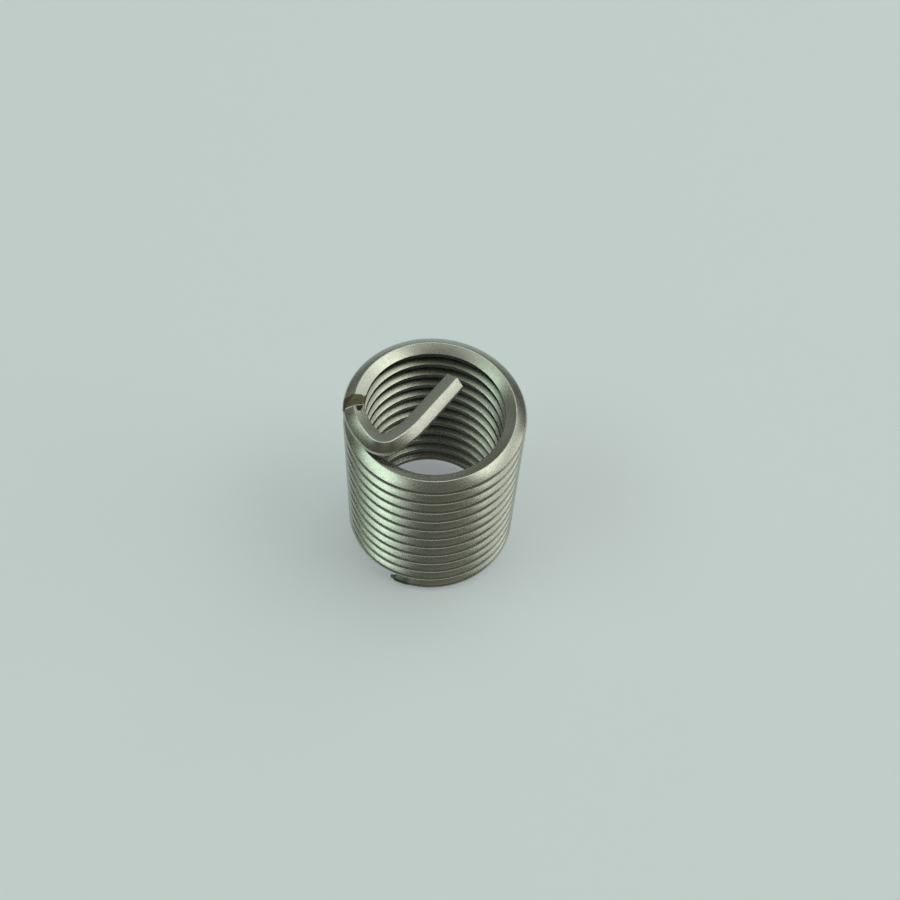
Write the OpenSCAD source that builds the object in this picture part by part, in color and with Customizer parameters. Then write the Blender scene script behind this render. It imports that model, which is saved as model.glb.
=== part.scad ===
// Wire thread insert: one length of stainless wire with a diamond section, wound into a
// right-hand coil. The outer ridge of the turns screws into a tapped hole and the inner ridge
// takes the bolt. The last stretch of wire is notched and bent across the bore as a driving tang.
// Millimetres. The axis of the coil is +Z, the coil stands on z = 0 and the tang is at the top.
// Azimuths are degrees about +Z from +X. Headings are the wire's direction of travel in plan.

/* [Coil] */
// Outer diameter of the free coil, over the crests
coil_od = 14.5; // [13.5:0.1:17]
// Rise of the wire in one turn
pitch = 1.41; // [1.3:0.01:1.7]
// Turns of wire from the cut end at the foot to the notch
coil_turns = 11.83; // [3:0.01:13]
// Azimuth of the notch, where the tang starts
notch_azimuth = 183; // [0:1:359]

/* [Wire section] */
// Depth of the wire in the radial direction
wire_depth = 1.73; // [1.5:0.01:1.9]
// Height of the wire over its two side ridges
wire_height = 1.17; // [1:0.01:1.22]
// Distance of the side ridges inwards from the outer crest
ridge_inset = 0.87; // [0.75:0.01:1]
// Width of the flat on the outer crest
outer_flat = 0.18; // [0.1:0.01:0.3]
// Width of the flat on the inner crest
inner_flat = 0.34; // [0.15:0.01:0.4]
// Width of the worn flat on each side ridge
ridge_flat = 0.12; // [0.05:0.01:0.2]

/* [Notch] */
// Height that the notch leaves above the middle of the wire
notch_floor = 0.2; // [0.18:0.01:0.4]
// Length of the ramp down to the floor of the notch
notch_ramp = 0.86; // [0.4:0.01:1.2]
// Length of the floor of the notch
notch_land = 0.12; // [0.08:0.01:0.4]
// Length of the steep wall on the tang's side of the notch
notch_wall = 0.07; // [0.04:0.01:0.2]

/* [Tang] */
// Sharp turn of the wire at the notch, in degrees
tang_kink = 9; // [0:1:15]
// Radius of the easy bend after the notch
root_radius = 5.05; // [3.5:0.05:6.5]
// Angle of the easy bend, in degrees
root_turn = 37; // [25:1:45]
// Inside radius of the tight bend
bend_inside = 0.36; // [0.3:0.01:0.8]
// Angle of the tight bend, in degrees
bend_turn = 79; // [65:1:90]
// Radius of the slack bend that leads into the straight
lead_radius = 8.65; // [6:0.05:12]
// Angle of the slack bend, in degrees
lead_turn = 18; // [10:1:25]
// Straight length at the end of the tang
tang_straight = 5; // [2:0.05:6]
// Depth that the tang sinks below the end of the coil
tang_drop = 0.22; // [0:0.01:0.3]
// Twist of the wire about its own length in the tang, in degrees
tang_roll = 16; // [0:1:20]

/* [Hidden] */

// Stations of the sweep in one turn of the coil, and in each bend of the tang
turn_steps = 48;
root_steps = 9;
bend_steps = 14;
lead_steps = 4;
straight_steps = 5;

ridge_r = coil_od / 2 - ridge_inset;
inner_inset = wire_depth - ridge_inset;
half_height = wire_height / 2;
foot_azimuth = notch_azimuth - 360 * coil_turns;

// Angle that a length of wire takes on the coil, and the azimuths where the ramp starts and ends
function coil_angle(length) = length / ridge_r * 180 / PI;
floor_azimuth = notch_azimuth - coil_angle(notch_land);
ramp_azimuth = floor_azimuth - coil_angle(notch_ramp);

// Middle of the wire on the coil at an azimuth
function coil_z(azimuth) = half_height + pitch * (azimuth - foot_azimuth) / 360;
function on_coil(azimuth) =
    [ridge_r * cos(azimuth), ridge_r * sin(azimuth), coil_z(azimuth)];

// Distance of each flank from the ridge at a height above the middle of the wire
function outer_flank(height) =
    ridge_inset - (ridge_inset - ridge_flat / 2)
    * (height - outer_flat / 2) / (half_height - outer_flat / 2);
function inner_flank(height) =
    inner_inset - (inner_inset - ridge_flat / 2)
    * (height - inner_flat / 2) / (half_height - inner_flat / 2);

// Section of the wire as [outwards, up] points, with its upper ridge cut down to a height
function section(top) = [
    [ridge_inset, -outer_flat / 2],
    [ridge_inset, outer_flat / 2],
    [outer_flank(top), top],
    [-inner_flank(top), top],
    [-inner_inset, inner_flat / 2],
    [-inner_inset, -inner_flat / 2],
    [-ridge_flat / 2, -half_height],
    [ridge_flat / 2, -half_height],
];
section_sides = len(section(half_height));

// A station holds the middle of the wire, its heading, its roll and the height of its ridge.
// Its ring is the section, rolled about the wire and set square to the heading.
function station(middle, heading, roll, top) = [middle, heading, roll, top];
function ring(s) = [
    for (p = section(s[3]))
        let (
            out = p[0] * cos(s[2]) + p[1] * sin(s[2]),
            up = p[1] * cos(s[2]) - p[0] * sin(s[2])
        )
        s[0] + [out * sin(s[1]), -out * cos(s[1]), up]
];

// Coil from its foot to the notch, with the ramp cut into its last stretch
coil_steps = ceil((ramp_azimuth - foot_azimuth) / 360 * turn_steps);
function coil_station(azimuth, top) =
    station(on_coil(azimuth), azimuth + 90, 0, top);
coil_run = concat(
    [
        for (i = [0 : coil_steps])
            coil_station(
                foot_azimuth + (ramp_azimuth - foot_azimuth) * i / coil_steps,
                half_height
            )
    ],
    [
        coil_station(floor_azimuth, notch_floor),
        coil_station(notch_azimuth, notch_floor),
    ]
);

// Place in plan after a left-hand arc from a place, and its heading after it
function after_arc(place, heading, radius, turn) =
    place + radius * [
        sin(heading + turn) - sin(heading),
        cos(heading) - cos(heading + turn),
    ];

// Bends of the tang in plan, each as its radius, its turn and its number of stations
bend_radius = bend_inside + inner_inset;
bends = [
    [root_radius, root_turn, root_steps],
    [bend_radius, bend_turn, bend_steps],
    [lead_radius, lead_turn, lead_steps],
];

// Place, heading and distance along the tang at the start of each bend, and after the last
tang_heading = notch_azimuth + 90 + tang_kink;
wall_place = [ridge_r * cos(notch_azimuth), ridge_r * sin(notch_azimuth)]
    + notch_wall * [cos(tang_heading), sin(tang_heading)];
function bend_length(i) = bends[i][0] * bends[i][1] * PI / 180;
function bend_start(i) =
    i == 0
        ? [wall_place, tang_heading, 0]
        : let (s = bend_start(i - 1), b = bends[i - 1])
            [
                after_arc(s[0], s[1], b[0], b[1]),
                s[1] + b[1],
                s[2] + bend_length(i - 1),
            ];
straight_start = bend_start(len(bends));

// The wire sinks and twists smoothly over the first two bends
settle_length = bend_length(0) + bend_length(1);
function settled(along) =
    let (u = min(along / settle_length, 1)) u * u * (3 - 2 * u);
function tang_station(place, heading, along) =
    station(
        [place[0], place[1], coil_z(notch_azimuth) - tang_drop * settled(along)],
        heading,
        tang_roll * settled(along),
        half_height
    );

tang_run = concat(
    [
        for (i = [0 : len(bends) - 1])
            let (s = bend_start(i), b = bends[i])
                for (k = [0 : b[2] - 1])
                    let (part = k / b[2])
                        tang_station(
                            after_arc(s[0], s[1], b[0], b[1] * part),
                            s[1] + b[1] * part,
                            s[2] + bend_length(i) * part
                        )
    ],
    [
        for (k = [0 : straight_steps])
            let (
                run = tang_straight * k / straight_steps,
                heading = straight_start[1]
            )
                tang_station(
                    straight_start[0] + run * [cos(heading), sin(heading)],
                    heading,
                    straight_start[2] + run
                )
    ]
);

// Solid swept through the rings of a list of stations, closed by its two cut ends
module swept_wire(stations) {
    n = section_sides;
    last = (len(stations) - 1) * n;
    points = [for (s = stations) each ring(s)];
    walls = [
        for (i = [0 : len(stations) - 2])
            for (j = [0 : n - 1])
                let (
                    a = i * n + j,
                    b = a + n,
                    d = i * n + (j + 1) % n,
                    c = d + n
                )
                    each [[a, d, c], [a, c, b]]
    ];
    foot = [[for (j = [n - 1 : -1 : 0]) j]];
    tip = [[for (j = [0 : n - 1]) last + j]];
    polyhedron(points = points, faces = concat(walls, foot, tip));
}

module insert() {
    color([0.66, 0.67, 0.64])
        swept_wire(concat(coil_run, tang_run));
}

insert();
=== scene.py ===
"""Wire thread insert: the finished look of one coil of diamond-section stainless wire.

The wire is drawn as one section, wound into the coil, bent across the bore as a driving
tang, notched where the tang leaves the coil and cropped at both ends. All sizes are in
millimetres until the finished wire is brought to metres.
"""
from __future__ import annotations

import logging
import math
from dataclasses import dataclass, field
from enum import Enum
from typing import Sequence

import bpy
from mathutils import Euler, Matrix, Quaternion, Vector
from mathutils.kdtree import KDTree

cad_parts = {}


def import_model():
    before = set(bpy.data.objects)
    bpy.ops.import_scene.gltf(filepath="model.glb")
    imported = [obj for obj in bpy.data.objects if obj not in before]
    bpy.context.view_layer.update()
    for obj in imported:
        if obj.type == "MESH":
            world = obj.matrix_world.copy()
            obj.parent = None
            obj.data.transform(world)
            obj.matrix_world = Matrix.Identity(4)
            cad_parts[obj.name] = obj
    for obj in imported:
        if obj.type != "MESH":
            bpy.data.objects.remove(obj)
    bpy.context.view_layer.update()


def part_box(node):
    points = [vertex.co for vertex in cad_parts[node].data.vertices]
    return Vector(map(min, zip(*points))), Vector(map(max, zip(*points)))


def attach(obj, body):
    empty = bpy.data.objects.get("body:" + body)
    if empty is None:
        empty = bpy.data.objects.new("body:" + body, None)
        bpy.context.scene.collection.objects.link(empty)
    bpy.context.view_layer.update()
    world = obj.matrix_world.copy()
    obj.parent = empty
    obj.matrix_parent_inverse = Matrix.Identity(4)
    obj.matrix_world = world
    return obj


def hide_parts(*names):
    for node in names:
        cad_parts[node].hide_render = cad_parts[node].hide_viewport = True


LOG = logging.getLogger("wire_insert")
METRES = 0.001
WIRE_PLACE = "wire_place"
UP = Vector((0.0, 0.0, 1.0))


class Skin(Enum):
    """The finish of a face, by the number of its material on the wire."""

    DRAWN = 0
    SHEARED = 1


def linear(hex_colour: str) -> tuple[float, float, float, float]:
    """Turns a written sRGB colour into the linear colour that a shader takes.

    Args:
        hex_colour: six hex digits, such as "C4CFC8".

    Returns:
        The linear red, green and blue, with an alpha of 1.
    """
    levels = [int(hex_colour[i : i + 2], 16) / 255 for i in (0, 2, 4)]
    red, green, blue = (
        level / 12.92 if level <= 0.04045 else ((level + 0.055) / 1.055) ** 2.4
        for level in levels
    )
    return (red, green, blue, 1.0)


def add_node(
    tree: bpy.types.NodeTree,
    kind: str,
    settings: dict[str, object] | None = None,
    values: dict[str | int, object] | None = None,
    links: dict[str | int, bpy.types.NodeSocket] | None = None,
) -> bpy.types.Node:
    """Adds one node to a material, with its settings, its values and its links.

    Args:
        tree: the node tree that gets the node.
        kind: the node's type name.
        settings: properties of the node itself.
        values: constants of its input sockets, by their name or number.
        links: sockets that feed its inputs, by their name or number.

    Returns:
        The new node.
    """
    node = tree.nodes.new(kind)
    for name, value in (settings or {}).items():
        setattr(node, name, value)
    for name, value in (values or {}).items():
        node.inputs[name].default_value = value
    for name, source in (links or {}).items():
        tree.links.new(source, node.inputs[name])
    return node


def deselect_everything() -> None:
    """Leaves edit mode and clears the selection."""
    if bpy.context.object and bpy.context.object.mode != "OBJECT":
        bpy.ops.object.mode_set(mode="OBJECT")
    bpy.ops.object.select_all(action="DESELECT")


def take_up(piece: bpy.types.Object) -> None:
    """Makes a piece the only selected and the active one.

    Args:
        piece: the object.
    """
    deselect_everything()
    piece.select_set(True)
    bpy.context.view_layer.objects.active = piece


def pick_points(piece: bpy.types.Object, wanted: Sequence[int]) -> None:
    """Selects the points of a piece by number and enters edit mode on them.

    Args:
        piece: the mesh object.
        wanted: the numbers of the points.
    """
    bpy.ops.object.mode_set(mode="EDIT")
    bpy.ops.mesh.select_all(action="DESELECT")
    bpy.ops.mesh.select_mode(type="VERT")
    bpy.ops.object.mode_set(mode="OBJECT")
    for number in wanted:
        piece.data.vertices[number].select = True
    bpy.ops.object.mode_set(mode="EDIT")


def turn(angle: float, centre: Vector, axis: Vector = UP) -> None:
    """Turns the selected points right-handed about an axis.

    Args:
        angle: the turn in degrees.
        centre: a point on the axis.
        axis: the direction of the axis.
    """
    toward = UP.rotation_difference(axis).to_matrix()
    bpy.ops.transform.rotate(
        value=-math.radians(angle),
        orient_axis="Z",
        orient_matrix=toward,
        center_override=centre,
    )


def apply_modifier(piece: bpy.types.Object, kind: str, **settings: object) -> None:
    """Adds a modifier to a piece, sets it and applies it.

    Args:
        piece: the mesh object.
        kind: the modifier's type name.
        settings: its properties.
    """
    take_up(piece)
    modifier = piece.modifiers.new(kind.lower(), kind)
    for name, value in settings.items():
        setattr(modifier, name, value)
    bpy.ops.object.modifier_apply(modifier=modifier.name)


def plan_direction(heading: float) -> Vector:
    """The level direction of a heading in degrees about +Z from +X."""
    return Vector((math.cos(math.radians(heading)), math.sin(math.radians(heading)), 0.0))


@dataclass(frozen=True)
class Station:
    """A place along the wire: its middle, heading and roll, and the length of wire before it."""

    middle: Vector
    heading: float
    roll: float
    along: float

    def outward(self) -> Vector:
        """The level direction away from the coil's axis, square to the wire."""
        return plan_direction(self.heading - 90.0)


@dataclass(frozen=True)
class WireSection:
    """Diamond section of the drawn wire, with worn flats on its four corners.

    The section is set out from the line of its two side ridges: outwards to the crest
    that screws into the hole, and inwards to the crest that takes the bolt.
    """

    ridge_inset: float = 0.87
    depth: float = 1.73
    height: float = 1.17
    outer_tip: float = 1.017
    inner_tip: float = 1.188
    ridge_tip: float = 0.602
    wear_foot: float = -0.015
    wear_tilt: float = 35.0
    corner_round: float = 0.03
    corner_segments: int = 2
    ridge_round: float = 0.022
    ridge_segments: int = 3

    def make(self, ridge_radius: float) -> bpy.types.Object:
        """Models the section as a closed line of points in the plane of +X and +Z.

        Args:
            ridge_radius: distance of the side ridges from the coil's axis.

        Returns:
            The object that holds the line.
        """
        deselect_everything()
        bpy.ops.mesh.primitive_circle_add(
            vertices=4, radius=1.0, fill_type="NGON", rotation=(math.radians(90), 0, 0)
        )
        outline = bpy.context.object
        bpy.ops.object.transform_apply(location=True, rotation=True, scale=True)
        for point in outline.data.vertices:
            point.co.x *= self.outer_tip if point.co.x > 0 else self.inner_tip
            point.co.z *= self.ridge_tip
        tilt = math.radians(self.wear_tilt)
        wear = Vector((math.cos(tilt), 0, math.sin(tilt)))
        cuts = (
            (Vector((self.ridge_inset, 0, 0)), Vector((1, 0, 0))),
            (Vector((self.ridge_inset - self.depth, 0, 0)), Vector((-1, 0, 0))),
            (Vector((0, 0, self.height / 2)), UP),
            (Vector((0, 0, -self.height / 2)), -UP),
            (Vector((self.ridge_inset, 0, self.wear_foot)), wear),
        )
        bpy.ops.object.mode_set(mode="EDIT")
        for place, normal in cuts:
            bpy.ops.mesh.select_all(action="SELECT")
            bpy.ops.mesh.bisect(plane_co=place, plane_no=normal, clear_outer=True)
        self.round_corners(outline, True, self.ridge_round, self.ridge_segments)
        self.round_corners(outline, False, self.corner_round, self.corner_segments)
        bpy.ops.mesh.select_all(action="SELECT")
        bpy.ops.mesh.delete(type="ONLY_FACE")
        bpy.ops.mesh.select_all(action="SELECT")
        bpy.ops.transform.translate(value=(ridge_radius, 0, 0))
        bpy.ops.object.mode_set(mode="OBJECT")
        return outline

    def round_corners(
        self, outline: bpy.types.Object, on_ridge: bool, offset: float, segments: int
    ) -> None:
        """Rounds either the corners of the two side ridges or those of the two crests.

        Args:
            outline: the section, in edit mode.
            on_ridge: whether the corners of the side ridges are meant.
            offset: distance from a corner at which its rounding starts.
            segments: number of edges in the rounding.
        """
        near_ridge = self.ridge_inset / 3
        bpy.ops.mesh.select_mode(type="VERT")
        bpy.ops.mesh.select_all(action="DESELECT")
        bpy.ops.object.mode_set(mode="OBJECT")
        for point in outline.data.vertices:
            point.select = (abs(point.co.x) < near_ridge) == on_ridge
        bpy.ops.object.mode_set(mode="EDIT")
        bpy.ops.mesh.bevel(offset=offset, segments=segments, affect="VERTICES")


@dataclass(frozen=True)
class Bend:
    """One left-hand bend of the tang: its radius, its angle and its number of steps."""

    radius: float
    angle: float
    steps: int

    def length(self) -> float:
        """Length of wire in the bend."""
        return self.radius * math.radians(self.angle)


@dataclass
class Coil:
    """The wound turns, from the cropped end at the foot up to the notch."""

    crest_radius: float = 7.25
    pitch: float = 1.41
    turns: float = 11.83
    notch_azimuth: float = 183.0
    cropped: float = 2.6
    turn_steps: int = 120
    stations_apart: float = 3.0
    section: WireSection = field(default_factory=WireSection)

    @property
    def ridge_radius(self) -> float:
        """Distance of the side ridges from the axis."""
        return self.crest_radius - self.section.ridge_inset

    @property
    def foot_azimuth(self) -> float:
        """Azimuth of the cropped end at the foot, counted back from the notch."""
        return self.notch_azimuth - 360.0 * self.turns

    @property
    def wound(self) -> float:
        """Angle of the coil in degrees, less what the crop at the foot turned into a burr."""
        return 360.0 * self.turns - self.cropped

    def height_at(self, azimuth: float) -> float:
        """Height of the middle of the wire at an azimuth."""
        return self.section.height / 2 + self.pitch * (azimuth - self.foot_azimuth) / 360.0

    def arc(self, angle: float) -> float:
        """Length of wire along an angle of the coil."""
        return self.ridge_radius * math.radians(angle)

    def station(self, azimuth: float) -> Station:
        """The place on the wire at an azimuth."""
        middle = plan_direction(azimuth) * self.ridge_radius + UP * self.height_at(azimuth)
        return Station(middle, azimuth + 90.0, 0.0, self.arc(azimuth - self.foot_azimuth))

    def stations(self) -> list[Station]:
        """Places all along the coil, a few degrees apart.

        Returns:
            The places in order.
        """
        count = math.ceil(360.0 * self.turns / self.stations_apart)
        step = 360.0 * self.turns / count
        return [self.station(self.foot_azimuth + step * i) for i in range(count + 1)]

    def steps(self) -> int:
        """Number of rings that the screw adds to the first."""
        return round(self.turn_steps * self.wound / 360.0)

    def wind(self) -> bpy.types.Object:
        """Winds the section into the coil.

        Returns:
            The open tube of the coil, with its first ring at the foot.
        """
        wire = self.section.make(self.ridge_radius)
        take_up(wire)
        bpy.ops.object.mode_set(mode="EDIT")
        bpy.ops.mesh.select_all(action="SELECT")
        start = self.notch_azimuth - self.wound
        turn(start, Vector((0, 0, 0)))
        bpy.ops.transform.translate(value=(0, 0, self.height_at(start)))
        bpy.ops.object.mode_set(mode="OBJECT")
        steps = self.steps()
        apply_modifier(
            wire,
            "SCREW",
            axis="Z",
            angle=math.radians(self.wound),
            screw_offset=self.pitch * self.wound / 360.0,
            iterations=1,
            steps=steps,
            render_steps=steps,
            use_merge_vertices=False,
            use_smooth_shade=True,
        )
        return wire


@dataclass
class Tang:
    """The last stretch of wire, bent across the bore to be turned by an installing tool."""

    kink: float = 9.0
    wall: float = 0.07
    root: Bend = Bend(radius=5.05, angle=37.0, steps=20)
    tight: Bend = Bend(radius=1.22, angle=79.0, steps=26)
    lead: Bend = Bend(radius=8.65, angle=18.0, steps=10)
    straight: float = 5.0
    straight_steps: int = 10
    drop: float = 0.22
    roll: float = 16.0

    def settled(self, along: float) -> float:
        """Share of the drop and the roll that the wire has taken after a length."""
        part = min(along / (self.root.length() + self.tight.length()), 1.0)
        return part * part * (3.0 - 2.0 * part)

    def stations(self, coil: Coil) -> list[Station]:
        """Places all along the tang, from the wall of the notch to the cropped tip.

        Args:
            coil: the coil that the tang carries on from.

        Returns:
            The places in order.
        """
        start = coil.station(coil.notch_azimuth)
        heading = start.heading + self.kink
        place = start.middle + plan_direction(heading) * self.wall
        level = place.z
        found = [Station(place, heading, 0.0, start.along + self.wall)]
        run = 0.0
        moves = [
            (bend.angle / bend.steps, bend.length() / bend.steps)
            for bend in (self.root, self.tight, self.lead)
            for _ in range(bend.steps)
        ]
        moves += [(0.0, self.straight / self.straight_steps)] * self.straight_steps
        for angle, length in moves:
            run += length
            half = math.radians(angle / 2)
            chord = length if angle == 0 else length * math.sin(half) / half
            place = place + plan_direction(heading + angle / 2) * chord
            heading += angle
            place.z = level - self.drop * self.settled(run)
            roll = self.roll * self.settled(run)
            found.append(Station(place.copy(), heading, roll, start.along + self.wall + run))
        return found

    def draw_out(self, wire: bpy.types.Object, coil: Coil) -> None:
        """Extrudes the open end of the coil along the tang, ring by ring.

        Args:
            wire: the open tube of the coil, which gets the tang.
            coil: the coil's sizes.
        """
        ring = len(wire.data.vertices) // (coil.steps() + 1)
        count = len(wire.data.vertices)
        take_up(wire)
        pick_points(wire, range(count - ring, count))
        last = coil.station(coil.notch_azimuth)
        for place in self.stations(coil):
            bpy.ops.mesh.extrude_region_move()
            turn(place.heading - last.heading, last.middle)
            bpy.ops.transform.translate(value=place.middle - last.middle)
            turn(place.roll - last.roll, place.middle, plan_direction(place.heading))
            last = place
        bpy.ops.object.mode_set(mode="OBJECT")


@dataclass(frozen=True)
class Nick:
    """A small dent in a crest: its azimuth, how many turns it lies below the notch, and size."""

    azimuth: float
    turns_down: int
    length: float = 0.22
    depth: float = 0.07


@dataclass
class Notch:
    """The shear cut across the top of the wire where the tang is meant to break off."""

    floor: float = 0.2
    ramp: float = 0.86
    land: float = 0.12
    slant: float = 17.6
    lean: float = 0.26
    lip: float = 0.045
    clear: float = 0.25
    pit_reach: float = 0.7
    pit_middle: float = 0.46
    pit_depth: float = 0.21
    pit_proud: float = 0.05
    nicks: tuple[Nick, ...] = (
        Nick(302.0, 1),
        Nick(310.0, 1, length=0.16),
        Nick(306.0, 3),
        Nick(268.0, 7, length=0.3),
        Nick(228.0, 4, length=0.18),
        Nick(238.0, 8, length=0.2),
    )

    def wedge(self, coil: Coil) -> bpy.types.Object:
        """Models the wedge that the notch takes away.

        Args:
            coil: the coil's sizes.

        Returns:
            The wedge, in place over the wire.
        """
        rise = coil.section.height / 2 - self.floor
        top = rise + self.clear
        back = -(self.land + self.ramp * top / rise)
        deselect_everything()
        bpy.ops.mesh.primitive_cube_add(size=1.0)
        wedge = bpy.context.object
        for point in wedge.data.vertices:
            beyond = point.co.y > 0
            above = point.co.z > 0
            point.co.x *= 2 * coil.section.depth
            point.co.z = self.floor + (top if above else 0.0)
            if beyond:
                point.co.y = self.lean if above else 0.0
            else:
                point.co.y = back if above else -self.land
        here = coil.station(coil.notch_azimuth)
        pick_points(wedge, range(len(wedge.data.vertices)))
        turn(here.heading - 90.0 + self.slant, Vector((0, 0, 0)))
        bpy.ops.transform.translate(value=here.middle)
        bpy.ops.object.mode_set(mode="OBJECT")
        return wedge

    def pit(self, coil: Coil) -> bpy.types.Object:
        """Models the three-sided bit that was torn out of the tang's inner flank.

        Args:
            coil: the coil's sizes.

        Returns:
            A pyramid, point down, in place over the flank.
        """
        section = coil.section
        here = coil.station(coil.notch_azimuth)
        ahead = plan_direction(here.heading)
        slope = section.ridge_tip / section.inner_tip

        def on_flank(along: float, inward: float, above: float) -> Vector:
            """A point over the inner flank, in the coil's frame."""
            level = section.ridge_tip - slope * inward + above
            return here.middle + ahead * along - here.outward() * inward + UP * level

        corners = [
            on_flank(0.03, 0.06, self.pit_proud),
            on_flank(-0.22, 0.86, self.pit_proud),
            on_flank(self.pit_reach, self.pit_middle, self.pit_proud),
            on_flank(0.1, self.pit_middle, -self.pit_depth),
        ]
        deselect_everything()
        bpy.ops.mesh.primitive_cone_add(vertices=3, radius1=1.0, radius2=0.0, depth=1.0)
        pit = bpy.context.object
        points = sorted(pit.data.vertices, key=lambda point: point.co.z)
        for point, corner in zip(points, corners):
            point.co = corner
        take_up(pit)
        bpy.ops.object.mode_set(mode="EDIT")
        bpy.ops.mesh.select_all(action="SELECT")
        bpy.ops.mesh.normals_make_consistent(inside=False)
        bpy.ops.object.mode_set(mode="OBJECT")
        return pit

    def lips(self, coil: Coil) -> list[bpy.types.Object]:
        """Models the thin burr that the shear raised over the wall of the notch.

        Args:
            coil: the coil's sizes.

        Returns:
            Two thin bars: from the crest up to the ridge, and on down to the inner crest.
        """
        section = coil.section
        here = coil.station(coil.notch_azimuth)
        ahead = plan_direction(here.heading)
        skew = math.tan(math.radians(self.slant))
        inner = section.depth - section.ridge_inset
        # The ends of the bars lie just inside the wire, so that the bars join it
        crest = here.outward() * (section.ridge_inset - 0.06) + UP * 0.14
        crest += ahead * (skew * section.ridge_inset + 0.02)
        ridge = here.outward() * 0.05 + UP * 0.57 + ahead * 0.17
        bore = here.outward() * -(inner - 0.02) + UP * 0.2 - ahead * (skew * inner - 0.02)
        return [self.lip_bar(here, crest, ridge), self.lip_bar(here, ridge, bore)]

    def lip_bar(self, here: Station, crest: Vector, ridge: Vector) -> bpy.types.Object:
        """Models one thin bar between two places.

        Args:
            here: the station of the notch, which the places are counted from.
            crest: the bar's start.
            ridge: the bar's end.

        Returns:
            The bar.
        """
        deselect_everything()
        bpy.ops.mesh.primitive_cylinder_add(
            vertices=8, radius=self.lip, depth=(ridge - crest).length
        )
        bar = bpy.context.object
        facing = (ridge - crest).to_track_quat("Z", "Y").to_matrix().to_4x4()
        facing.translation = here.middle + (crest + ridge) / 2
        bar.matrix_world = facing
        bpy.ops.object.transform_apply(location=True, rotation=True, scale=True)
        return bar

    def nick(self, coil: Coil, mark: Nick) -> bpy.types.Object:
        """Models one small three-sided bar that dents a crest.

        Args:
            coil: the coil's sizes.
            mark: where the dent is, and how big.

        Returns:
            The bar, upright across the crest.
        """
        azimuth = mark.azimuth - 360.0 * mark.turns_down
        deselect_everything()
        bpy.ops.mesh.primitive_cylinder_add(vertices=3, radius=mark.length, depth=0.5)
        bar = bpy.context.object
        reach = coil.crest_radius - mark.depth + mark.length
        pick_points(bar, range(len(bar.data.vertices)))
        turn(azimuth + 90.0, Vector((0, 0, 0)))
        bpy.ops.transform.translate(
            value=plan_direction(azimuth) * reach + UP * (coil.height_at(azimuth) + 0.1)
        )
        bpy.ops.object.mode_set(mode="OBJECT")
        return bar

    def cut(self, wire: bpy.types.Object, coil: Coil) -> None:
        """Cuts the notch, the pit and the dents into the wire.

        Args:
            wire: the closed wire.
            coil: the coil's sizes.
        """
        jobs = [
            (self.wedge(coil), "DIFFERENCE", Skin.SHEARED),
            (self.pit(coil), "DIFFERENCE", Skin.SHEARED),
        ]
        jobs += [(bar, "UNION", Skin.DRAWN) for bar in self.lips(coil)]
        jobs += [(self.nick(coil, mark), "DIFFERENCE", Skin.DRAWN) for mark in self.nicks]
        for tool, operation, skin in jobs:
            for material in wire.data.materials:
                tool.data.materials.append(material)
            for face in tool.data.polygons:
                face.material_index = skin.value
            apply_modifier(wire, "BOOLEAN", operation=operation, solver="EXACT", object=tool)
            bpy.data.objects.remove(tool, do_unlink=True)


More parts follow.
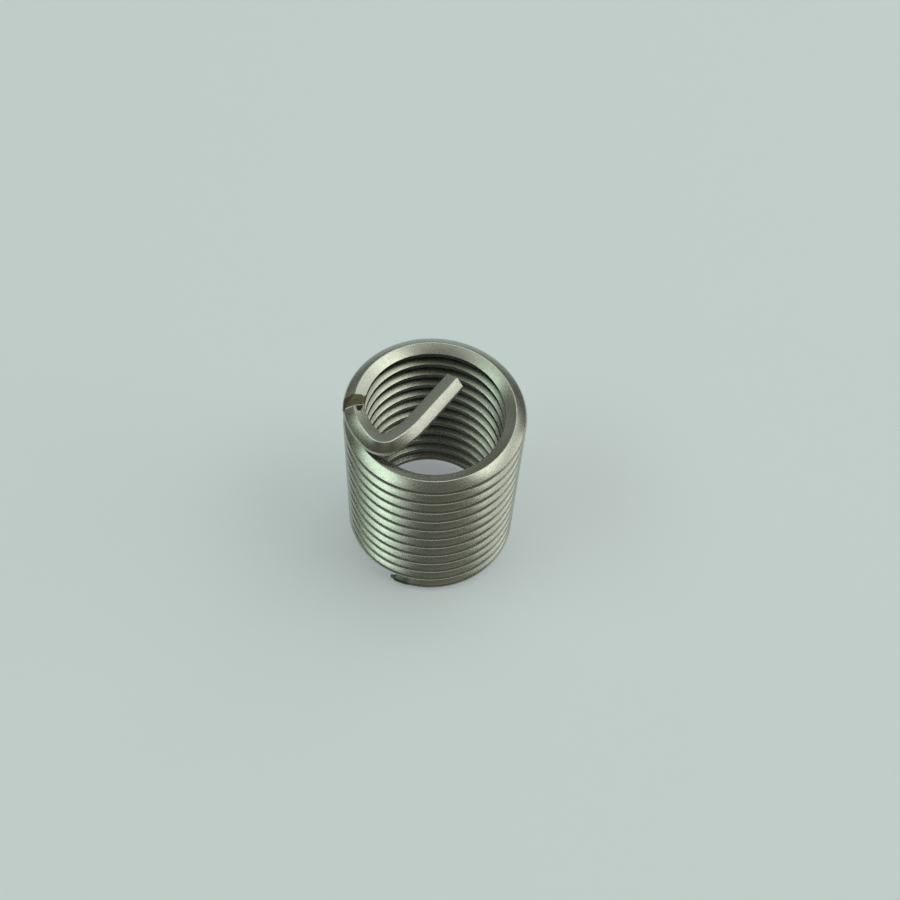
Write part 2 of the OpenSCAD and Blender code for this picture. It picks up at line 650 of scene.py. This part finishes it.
@dataclass(frozen=True)
class DrawnSteel:
    """Satin, as-drawn stainless wire, type 304: grey, soft in its shine, dulled by handling.

    Drawing it through a die leaves fine lines along the wire, a faint grain and a few dark
    pits. All lengths are in millimetres of wire.
    """

    name: str = "drawn_stainless_wire"
    colour: str = "C3C3BB"
    stained: str = "BBBAB2"
    pitted: str = "4A483F"
    roughness: float = 0.27
    # Real draw lines are about 0.02 mm apart. These are as coarse as a render needs
    line_spacing: float = 0.07
    line_stretch: float = 6.0
    line_depth: float = 0.2
    blotch: float = 0.3
    grain: float = 0.09
    grain_depth: float = 0.06
    pit_spacing: float = 0.55
    pit_rarity: float = 0.62
    smear: str = "6C6651"
    smear_length: float = 1.02
    smear_slant: float = 17.6
    smear_raggedness: float = 0.7
    smear_roughness: float = 0.5
    crushed: str = "74786F"
    crushed_length: float = 1.2
    crushed_fade: float = 0.4
    # Painted shade: a near-black laid inside the coil, on the inner crest and under the turn
    # above, where the turns shade each other
    shade_colour: str = "24251D"
    shade_share: float = 0.85
    inner_flat: float = 0.83

    def make(self, notch_along: float, turn_along: float) -> bpy.types.Material:
        """Builds the material.

        Args:
            notch_along: length of wire before the notch, where the shear smeared it brown.
            turn_along: length of wire in one turn.

        Returns:
            The finished material.
        """
        material = bpy.data.materials.new(self.name)
        material.use_nodes = True
        tree = material.node_tree
        tree.nodes.clear()
        place = add_node(tree, "ShaderNodeAttribute", {"attribute_name": WIRE_PLACE})
        vector = place.outputs["Vector"]
        parts = add_node(tree, "ShaderNodeSeparateXYZ", links={"Vector": vector})
        # Draw lines run along the wire and are much longer than they are wide
        across = 1 / self.line_spacing
        lengthwise = add_node(
            tree,
            "ShaderNodeMapping",
            values={"Scale": (across / self.line_stretch, across, across)},
            links={"Vector": vector},
        )
        lines = add_node(
            tree,
            "ShaderNodeTexNoise",
            values={"Scale": 1.0, "Detail": 2.0, "Roughness": 0.6},
            links={"Vector": lengthwise.outputs["Vector"]},
        )
        blotches = add_node(
            tree,
            "ShaderNodeTexNoise",
            values={"Scale": 1 / self.blotch, "Detail": 3.0, "Roughness": 0.7},
            links={"Vector": vector},
        )
        grain = add_node(
            tree,
            "ShaderNodeTexNoise",
            values={"Scale": 1 / self.grain, "Detail": 2.0, "Roughness": 0.6},
            links={"Vector": vector},
        )
        mixed = add_node(
            tree,
            "ShaderNodeMath",
            {"operation": "ADD"},
            links={0: blotches.outputs["Fac"], 1: grain.outputs["Fac"]},
        )
        bare = self.bare_colour(tree, vector, mixed.outputs["Value"])
        smear = self.smear_mask(tree, vector, parts, blotches.outputs["Fac"], notch_along)
        crush = add_node(
            tree,
            "ShaderNodeMapRange",
            values={
                "From Min": self.crushed_length,
                "From Max": self.crushed_length + self.crushed_fade,
                "To Min": 1.0,
                "To Max": 0.0,
            },
            links={"Value": parts.outputs["X"]},
        )
        # Painted shade: darkens the inner crest and the deep flanks inside the coil, where the
        # turns shade each other
        coil_shade = self.painted_shade_mask(tree, parts, notch_along, turn_along)
        colour = bare
        for layer, mask in (
            (self.smear, smear),
            (self.crushed, crush.outputs["Result"]),
            (self.shade_colour, coil_shade),
        ):
            mix = add_node(
                tree,
                "ShaderNodeMix",
                {"data_type": "RGBA"},
                {"B": linear(layer)},
                {"Factor": mask, "A": colour},
            )
            colour = mix.outputs["Result"]
        rough = add_node(
            tree,
            "ShaderNodeMapRange",
            values={
                "From Min": 0.8,
                "From Max": 1.2,
                "To Min": self.roughness + 0.03,
                "To Max": self.roughness - 0.02,
            },
            links={"Value": mixed.outputs["Value"]},
        )
        dulled = add_node(
            tree,
            "ShaderNodeMix",
            {"data_type": "FLOAT"},
            {"B": self.smear_roughness},
            {"Factor": smear, "A": rough.outputs["Result"]},
        )
        relief = add_node(
            tree,
            "ShaderNodeBump",
            values={"Strength": self.line_depth, "Distance": 0.00001},
            links={"Height": lines.outputs["Fac"]},
        )
        dents = add_node(
            tree,
            "ShaderNodeBump",
            values={"Strength": self.grain_depth, "Distance": 0.00002},
            links={"Height": grain.outputs["Fac"], "Normal": relief.outputs["Normal"]},
        )
        surface = add_node(
            tree,
            "ShaderNodeBsdfPrincipled",
            values={"Metallic": 1.0},
            links={
                "Base Color": colour,
                "Roughness": dulled.outputs["Result"],
                "Normal": dents.outputs["Normal"],
            },
        )
        add_node(
            tree,
            "ShaderNodeOutputMaterial",
            links={"Surface": surface.outputs["BSDF"]},
        )
        return material

    def bare_colour(
        self,
        tree: bpy.types.NodeTree,
        vector: bpy.types.NodeSocket,
        mottling: bpy.types.NodeSocket,
    ) -> bpy.types.NodeSocket:
        """Adds the colour of the clean wire: two close greys, and a few dark pits.

        Args:
            tree: the material's node tree.
            vector: the place on the wire.
            mottling: the noise that chooses between the greys.

        Returns:
            The socket of the colour.
        """
        stain = add_node(
            tree,
            "ShaderNodeMapRange",
            values={"From Min": 0.75, "From Max": 1.15},
            links={"Value": mottling},
        )
        tint = add_node(
            tree,
            "ShaderNodeMix",
            {"data_type": "RGBA"},
            {"A": linear(self.stained), "B": linear(self.colour)},
            {"Factor": stain.outputs["Result"]},
        )
        # Pits are small dark cells, of which only the few with a high random value show
        cells = add_node(
            tree,
            "ShaderNodeTexVoronoi",
            {"feature": "F1"},
            {"Scale": 1 / self.pit_spacing, "Randomness": 1.0},
            {"Vector": vector},
        )
        spot = add_node(
            tree,
            "ShaderNodeMapRange",
            values={"From Min": 0.05, "From Max": 0.11, "To Min": 1.0, "To Max": 0.0},
            links={"Value": cells.outputs["Distance"]},
        )
        chosen = add_node(
            tree,
            "ShaderNodeMath",
            {"operation": "GREATER_THAN"},
            {1: self.pit_rarity},
            {0: cells.outputs["Color"]},
        )
        pit = add_node(
            tree,
            "ShaderNodeMath",
            {"operation": "MULTIPLY"},
            links={0: spot.outputs["Result"], 1: chosen.outputs["Value"]},
        )
        pocked = add_node(
            tree,
            "ShaderNodeMix",
            {"data_type": "RGBA"},
            {"B": linear(self.pitted)},
            {"Factor": pit.outputs["Value"], "A": tint.outputs["Result"]},
        )
        return pocked.outputs["Result"]

    def smear_mask(
        self,
        tree: bpy.types.NodeTree,
        vector: bpy.types.NodeSocket,
        parts: bpy.types.Node,
        noise: bpy.types.NodeSocket,
        notch_along: float,
    ) -> bpy.types.NodeSocket:
        """Adds the mask of the brown smear before the notch, ragged at its far edge.

        Args:
            tree: the material's node tree.
            vector: the place on the wire.
            parts: the node that splits that place.
            noise: what makes the edge ragged.
            notch_along: length of wire before the notch.

        Returns:
            The socket of the mask.
        """
        slanted = add_node(
            tree,
            "ShaderNodeVectorMath",
            {"operation": "DOT_PRODUCT"},
            {1: (1.0, -math.tan(math.radians(self.smear_slant)), 0.0)},
            {0: vector},
        )
        ragged = add_node(
            tree,
            "ShaderNodeMath",
            {"operation": "MULTIPLY_ADD"},
            {1: self.smear_raggedness},
            {0: noise, 2: slanted.outputs["Value"]},
        )
        start = add_node(
            tree,
            "ShaderNodeMapRange",
            values={
                "From Min": notch_along - self.smear_length + 0.33,
                "From Max": notch_along - self.smear_length + 0.4,
            },
            links={"Value": ragged.outputs["Value"]},
        )
        end = add_node(
            tree,
            "ShaderNodeMath",
            {"operation": "LESS_THAN"},
            {1: notch_along - 0.04},
            {0: slanted.outputs["Value"]},
        )
        length = add_node(
            tree,
            "ShaderNodeMath",
            {"operation": "MULTIPLY"},
            links={0: start.outputs["Result"], 1: end.outputs["Value"]},
        )
        upper = add_node(
            tree,
            "ShaderNodeMapRange",
            values={"From Min": 0.02, "From Max": 0.12},
            links={"Value": parts.outputs["Z"]},
        )
        mask = add_node(
            tree,
            "ShaderNodeMath",
            {"operation": "MULTIPLY"},
            links={0: length.outputs["Value"], 1: upper.outputs["Result"]},
        )
        return mask.outputs["Value"]

    def painted_shade_mask(
        self,
        tree: bpy.types.NodeTree,
        parts: bpy.types.Node,
        notch_along: float,
        turn_along: float,
    ) -> bpy.types.NodeSocket:
        """Adds the mask of the painted shade inside the coil.

        It is painted shade: it darkens the inner crest and the deep side of the flank above it,
        where the turns shade each other. The flank of the last turn and the tang lie open and
        are left unshaded.

        Args:
            tree: the material's node tree.
            parts: the node that splits the place on the wire.
            notch_along: length of wire before the notch.
            turn_along: length of wire in one turn.

        Returns:
            The socket of the mask.
        """
        covered = add_node(
            tree,
            "ShaderNodeMapRange",
            values={
                "From Min": notch_along - 0.96 * turn_along,
                "From Max": notch_along - 0.91 * turn_along,
                "To Min": 1.0,
                "To Max": 0.0,
            },
            links={"Value": parts.outputs["X"]},
        )
        inside = add_node(
            tree,
            "ShaderNodeMapRange",
            values={"From Min": -0.05, "From Max": -0.3},
            links={"Value": parts.outputs["Y"]},
        )
        deep = add_node(
            tree,
            "ShaderNodeMapRange",
            values={"From Min": 0.17, "From Max": 0.42},
            links={"Value": parts.outputs["Z"]},
        )
        covered_inside = add_node(
            tree,
            "ShaderNodeMath",
            {"operation": "MULTIPLY"},
            links={0: covered.outputs["Result"], 1: inside.outputs["Result"]},
        )
        crevice = add_node(
            tree,
            "ShaderNodeMath",
            {"operation": "MULTIPLY"},
            links={0: covered_inside.outputs["Value"], 1: deep.outputs["Result"]},
        )
        crest = add_node(
            tree,
            "ShaderNodeMapRange",
            values={
                "From Min": -self.inner_flat,
                "From Max": -self.inner_flat - 0.02,
                "To Max": 0.9,
            },
            links={"Value": parts.outputs["Y"]},
        )
        before_notch = add_node(
            tree,
            "ShaderNodeMath",
            {"operation": "LESS_THAN"},
            {1: notch_along},
            {0: parts.outputs["X"]},
        )
        coil_crest = add_node(
            tree,
            "ShaderNodeMath",
            {"operation": "MULTIPLY"},
            links={0: crest.outputs["Result"], 1: before_notch.outputs["Value"]},
        )
        shade_total = add_node(
            tree,
            "ShaderNodeMath",
            {"operation": "MAXIMUM"},
            links={0: crevice.outputs["Value"], 1: coil_crest.outputs["Value"]},
        )
        share = add_node(
            tree,
            "ShaderNodeMath",
            {"operation": "MULTIPLY"},
            {1: self.shade_share},
            {0: shade_total.outputs["Value"]},
        )
        return share.outputs["Value"]


@dataclass(frozen=True)
class ShearedSteel:
    """The same stainless where a shear tore it: rough, dull, darker and brownish."""

    name: str = "sheared_stainless"
    colour: str = "746E5B"
    torn: str = "514A3B"
    roughness: float = 0.5
    tear: float = 0.16
    tear_stretch: float = 2.5
    tear_depth: float = 0.7

    def make(self) -> bpy.types.Material:
        """Builds the material.

        Returns:
            The finished material.
        """
        material = bpy.data.materials.new(self.name)
        material.use_nodes = True
        tree = material.node_tree
        tree.nodes.clear()
        place = add_node(tree, "ShaderNodeAttribute", {"attribute_name": WIRE_PLACE})
        # Tears run across the wire, the way that the shear went through it
        along = 1 / self.tear
        across = along / self.tear_stretch
        crosswise = add_node(
            tree,
            "ShaderNodeMapping",
            values={"Scale": (along, across, across)},
            links={"Vector": place.outputs["Vector"]},
        )
        tears = add_node(
            tree,
            "ShaderNodeTexNoise",
            values={"Scale": 1.0, "Detail": 4.0, "Roughness": 0.7},
            links={"Vector": crosswise.outputs["Vector"]},
        )
        depth = add_node(
            tree,
            "ShaderNodeMapRange",
            values={"From Min": 0.35, "From Max": 0.6},
            links={"Value": tears.outputs["Fac"]},
        )
        colour = add_node(
            tree,
            "ShaderNodeMix",
            {"data_type": "RGBA"},
            {"A": linear(self.torn), "B": linear(self.colour)},
            {"Factor": depth.outputs["Result"]},
        )
        relief = add_node(
            tree,
            "ShaderNodeBump",
            values={"Strength": self.tear_depth, "Distance": 0.00005},
            links={"Height": tears.outputs["Fac"]},
        )
        surface = add_node(
            tree,
            "ShaderNodeBsdfPrincipled",
            values={"Metallic": 1.0, "Roughness": self.roughness},
            links={
                "Base Color": colour.outputs["Result"],
                "Normal": relief.outputs["Normal"],
            },
        )
        add_node(
            tree,
            "ShaderNodeOutputMaterial",
            links={"Surface": surface.outputs["BSDF"]},
        )
        return material


@dataclass
class WireInsert:
    """The whole insert: one wire, wound, bent, notched and cropped."""

    coil: Coil = field(default_factory=Coil)
    tang: Tang = field(default_factory=Tang)
    notch: Notch = field(default_factory=Notch)
    drawn: DrawnSteel = DrawnSteel()
    sheared: ShearedSteel = ShearedSteel()
    burr_steps: int = 6
    burr_step: float = 0.085
    burr_curl: float = 30.0
    burr_root: float = 0.26
    burr_middle: float = 0.18
    burr_lean: float = 0.12
    burr_taper: tuple[float, float, float] = (0.86, 0.86, 0.9)
    foot_reach: float = 0.5
    smooth_below: float = 8.0

    def close_ends(self, wire: bpy.types.Object) -> None:
        """Fills the two cropped ends of the tube and turns all faces outwards.

        The ends take the second material, as sheared faces.

        Args:
            wire: the open tube of the whole wire.
        """
        take_up(wire)
        bpy.ops.object.mode_set(mode="EDIT")
        bpy.ops.mesh.select_mode(type="VERT")
        bpy.ops.mesh.select_all(action="DESELECT")
        bpy.ops.mesh.select_non_manifold()
        bpy.ops.mesh.fill_holes(sides=0)
        bpy.ops.mesh.select_all(action="SELECT")
        bpy.ops.mesh.normals_make_consistent(inside=False)
        bpy.ops.object.mode_set(mode="OBJECT")
        for face in wire.data.polygons:
            skin = Skin.SHEARED if face.loop_total > 4 else Skin.DRAWN
            face.material_index = skin.value

    def curl_burr(self, wire: bpy.types.Object) -> None:
        """Draws the crest of the foot's cut face out into a small curled burr.

        Args:
            wire: the closed wire.
        """
        foot = self.coil.station(self.coil.notch_azimuth - self.coil.wound)
        back = -plan_direction(foot.heading)
        edge = foot.middle + foot.outward() * self.burr_root
        take_up(wire)
        bpy.ops.object.mode_set(mode="EDIT")
        bpy.ops.mesh.select_mode(type="FACE")
        bpy.ops.mesh.select_all(action="DESELECT")
        bpy.ops.object.mode_set(mode="OBJECT")
        for face in wire.data.polygons:
            offset = face.center - foot.middle
            face.select = face.loop_total > 4 and offset.length < self.foot_reach
        bpy.ops.object.mode_set(mode="EDIT")
        bpy.ops.mesh.bisect(plane_co=edge, plane_no=foot.outward())
        bpy.ops.mesh.select_all(action="DESELECT")
        bpy.ops.object.mode_set(mode="OBJECT")
        for face in wire.data.polygons:
            offset = face.center - edge
            face.select = (
                face.normal.dot(back) > 0.99
                and offset.length < self.foot_reach
                and offset.dot(foot.outward()) > 0
            )
        bpy.ops.object.mode_set(mode="EDIT")
        middle = edge + foot.outward() * self.burr_middle
        for _ in range(self.burr_steps):
            bpy.ops.mesh.extrude_region_move()
            middle = middle + back * self.burr_step
            bpy.ops.transform.translate(value=back * self.burr_step)
            turn(-self.burr_curl, middle + foot.outward() * self.burr_lean)
            bpy.ops.transform.resize(value=self.burr_taper, center_override=middle)
        bpy.ops.object.mode_set(mode="OBJECT")

    def mark_places(self, wire: bpy.types.Object) -> None:
        """Stores where each point lies on the wire, for patterns that follow it.

        Args:
            wire: the finished mesh, in millimetres.
        """
        stations = self.coil.stations() + self.tang.stations(self.coil)
        tree = KDTree(len(stations))
        for number, station in enumerate(stations):
            tree.insert(station.middle, number)
        tree.balance()
        places: list[float] = []
        for point in wire.data.vertices:
            station = stations[tree.find(point.co)[1]]
            offset = point.co - station.middle
            ahead = plan_direction(station.heading)
            places += (
                station.along + offset.dot(ahead),
                offset.dot(station.outward()),
                offset.z,
            )
        attribute = wire.data.attributes.new(WIRE_PLACE, "FLOAT_VECTOR", "POINT")
        attribute.data.foreach_set("vector", places)

    def build(self) -> bpy.types.Object:
        """Models and dresses the wire.

        Returns:
            The finished piece, in metres.
        """
        wire = self.coil.wind()
        wire.name = "wire"
        wire.data.name = "wire"
        self.tang.draw_out(wire, self.coil)
        wire.data.materials.clear()
        notch_along = self.coil.arc(360.0 * self.coil.turns)
        drawn = self.drawn.make(notch_along, self.coil.arc(360.0))
        wire.data.materials.append(drawn)
        wire.data.materials.append(self.sheared.make())
        self.close_ends(wire)
        self.curl_burr(wire)
        self.notch.cut(wire, self.coil)
        self.mark_places(wire)
        take_up(wire)
        wire.scale = (METRES, METRES, METRES)
        bpy.ops.object.transform_apply(location=True, rotation=True, scale=True)
        bpy.ops.object.shade_smooth_by_angle(angle=math.radians(self.smooth_below))
        return wire


@dataclass(frozen=True)
class Lamp:
    """One soft rectangular lamp: where it stands, its size in metres, its level and colour."""

    name: str
    azimuth: float
    elevation: float
    width: float
    height: float
    level: float
    colour: str
    distance: float = 1.0


@dataclass
class Studio:
    """Plain pale floor, soft lamps and the camera."""

    floor_colour: str = "C9D0D3"
    floor_size: float = 2.0
    floor_roughness: float = 0.7
    floor_shine: float = 0.2
    floor_glow: float = 0.35
    world_colour: str = "F6F8DA"
    horizon_level: float = 0.06
    zenith_level: float = 0.13
    lamps: tuple[Lamp, ...] = (
        Lamp("right_low", 0.0, 19.0, 0.7, 0.4, 1.45, "F6FAEE"),
        Lamp("right_middle", 0.0, 38.0, 0.7, 0.26, 0.6, "F6FAF0"),
        Lamp("right_high", -5.0, 56.0, 0.6, 0.36, 1.9, "F8FFEE"),
        Lamp("right_back", 42.0, 42.0, 0.5, 0.5, 1.05, "EEF8F0"),
        Lamp("ceiling_right", 65.0, 66.0, 0.46, 0.36, 1.2, "E8F6F2"),
        Lamp("ceiling_left", 115.0, 66.0, 0.46, 0.36, 0.8, "E8F6F2"),
        Lamp("ceiling", 90.0, 84.0, 0.6, 0.5, 0.95, "EAF5EE"),
        Lamp("left_window", 192.0, 48.0, 0.6, 0.36, 1.95, "E2FFEA"),
        Lamp("left_high", 175.0, 66.0, 0.4, 0.3, 0.6, "F0FFF2"),
        Lamp("front", 286.0, 41.0, 0.6, 0.22, 0.22, "FAF8E2"),
        Lamp("left_front", 219.0, 50.0, 0.36, 0.36, 0.62, "EAFFF6"),
        Lamp("back_high", 90.0, 41.0, 0.6, 0.3, 0.21, "E2F8F2"),
        Lamp("back", 90.0, 16.0, 1.4, 0.5, 0.1, "F0F8F6"),
        Lamp("left_back", 140.0, 24.0, 0.5, 0.45, 0.2, "EEF8F4"),
    )

    def lay_floor(self) -> None:
        """Makes the plain floor that the insert stands on."""
        deselect_everything()
        bpy.ops.mesh.primitive_plane_add(size=self.floor_size)
        floor = bpy.context.object
        floor.name = "floor"
        material = bpy.data.materials.new("pale_floor")
        material.use_nodes = True
        surface = material.node_tree.nodes["Principled BSDF"]
        surface.inputs["Base Color"].default_value = linear(self.floor_colour)
        surface.inputs["Roughness"].default_value = self.floor_roughness
        surface.inputs["Specular IOR Level"].default_value = self.floor_shine
        # The floor is paler to the eye and in the steel than the lamps alone would make it
        tree = material.node_tree
        path = add_node(tree, "ShaderNodeLightPath")
        seen = add_node(
            tree,
            "ShaderNodeMath",
            {"operation": "ADD"},
            links={0: path.outputs["Is Camera Ray"], 1: path.outputs["Is Glossy Ray"]},
        )
        seen_through = add_node(
            tree,
            "ShaderNodeMath",
            {"operation": "ADD"},
            links={0: seen.outputs["Value"], 1: path.outputs["Is Transmission Ray"]},
        )
        glow = add_node(
            tree,
            "ShaderNodeMath",
            {"operation": "MULTIPLY"},
            {1: self.floor_glow},
            {0: seen_through.outputs["Value"]},
        )
        surface.inputs["Emission Color"].default_value = linear(self.floor_colour)
        tree.links.new(glow.outputs["Value"], surface.inputs["Emission Strength"])
        floor.data.materials.append(material)

    def hang_lamps(self, aim: Vector) -> None:
        """Hangs the soft lamps around the insert.

        Args:
            aim: the point that they face.
        """
        for lamp in self.lamps:
            light = bpy.data.lights.new(lamp.name, "AREA")
            light.shape = "RECTANGLE"
            light.size = lamp.width
            light.size_y = lamp.height
            light.energy = lamp.level * lamp.width * lamp.height * math.pi
            light.color = linear(lamp.colour)[:3]
            holder = bpy.data.objects.new(lamp.name, light)
            bpy.context.scene.collection.objects.link(holder)
            rise = math.radians(lamp.elevation)
            toward = plan_direction(lamp.azimuth) * math.cos(rise) + UP * math.sin(rise)
            holder.location = aim + toward * lamp.distance
            holder.rotation_euler = toward.to_track_quat("Z", "Y").to_euler()
            holder.visible_camera = False

    def set_world(self) -> None:
        """Sets the dim grey surroundings, darker toward the horizon."""
        world = bpy.data.worlds.new("surroundings")
        bpy.context.scene.world = world
        world.use_nodes = True
        background = world.node_tree.nodes["Background"]
        background.inputs["Color"].default_value = linear(self.world_colour)
        tree = world.node_tree
        place = add_node(tree, "ShaderNodeTexCoord")
        parts = add_node(
            tree, "ShaderNodeSeparateXYZ", links={"Vector": place.outputs["Generated"]}
        )
        level = add_node(
            tree,
            "ShaderNodeMapRange",
            values={"To Min": self.horizon_level, "To Max": self.zenith_level},
            links={"Value": parts.outputs["Z"]},
        )
        tree.links.new(level.outputs["Result"], background.inputs["Strength"])

    def place_camera(self) -> None:
        """Places the camera at the photograph's angle.

        The insert's axis at the height of the tang is seen at one pixel of the frame, and
        the camera is turned about that line of sight.
        """
        focal = 1181.25
        elevation = 54.938
        distance = 92.258 * METRES
        level = 17.285 * METRES
        seen = Vector((433.526, 409.303))
        frame_middle = 450.0
        roll = -2.7122
        camera = bpy.data.cameras.new("camera")
        camera.sensor_width = 36.0
        camera.lens = focal / (2 * frame_middle) * camera.sensor_width
        camera.clip_start = 0.005
        holder = bpy.data.objects.new("camera", camera)
        bpy.context.scene.collection.objects.link(holder)
        rise = math.radians(elevation)
        holder.location = (
            0.0,
            -distance * math.cos(rise),
            level + distance * math.sin(rise),
        )
        ray = Vector(
            ((seen.x - frame_middle) / focal, -(seen.y - frame_middle) / focal, -1.0)
        ).normalized()
        facing = Euler((math.pi / 2 - rise, 0, 0)).to_quaternion()
        aside = (-UP).rotation_difference(ray)
        rolled = Quaternion(UP, -math.radians(roll))
        holder.rotation_euler = (facing @ aside.conjugated() @ rolled).to_euler()
        bpy.context.scene.camera = holder

    def set_up(self) -> None:
        """Sets up floor, lamps, surroundings, camera and plain colour handling."""
        self.lay_floor()
        self.hang_lamps(Vector((0.0, 0.0, 0.01)))
        self.set_world()
        self.place_camera()
        bpy.context.scene.view_settings.view_transform = "Standard"


def main() -> None:
    """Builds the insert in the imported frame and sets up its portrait."""
    logging.basicConfig(level=logging.INFO, format="%(message)s")
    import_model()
    low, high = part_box("insert")
    LOG.info("insert is %.2f mm high", (high.z - low.z) / METRES)
    wire = WireInsert().build()
    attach(wire, "root")
    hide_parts("insert")
    LOG.info("%s: %d faces", wire.name, len(wire.data.polygons))
    Studio().set_up()


if __name__ == "__main__":
    main()
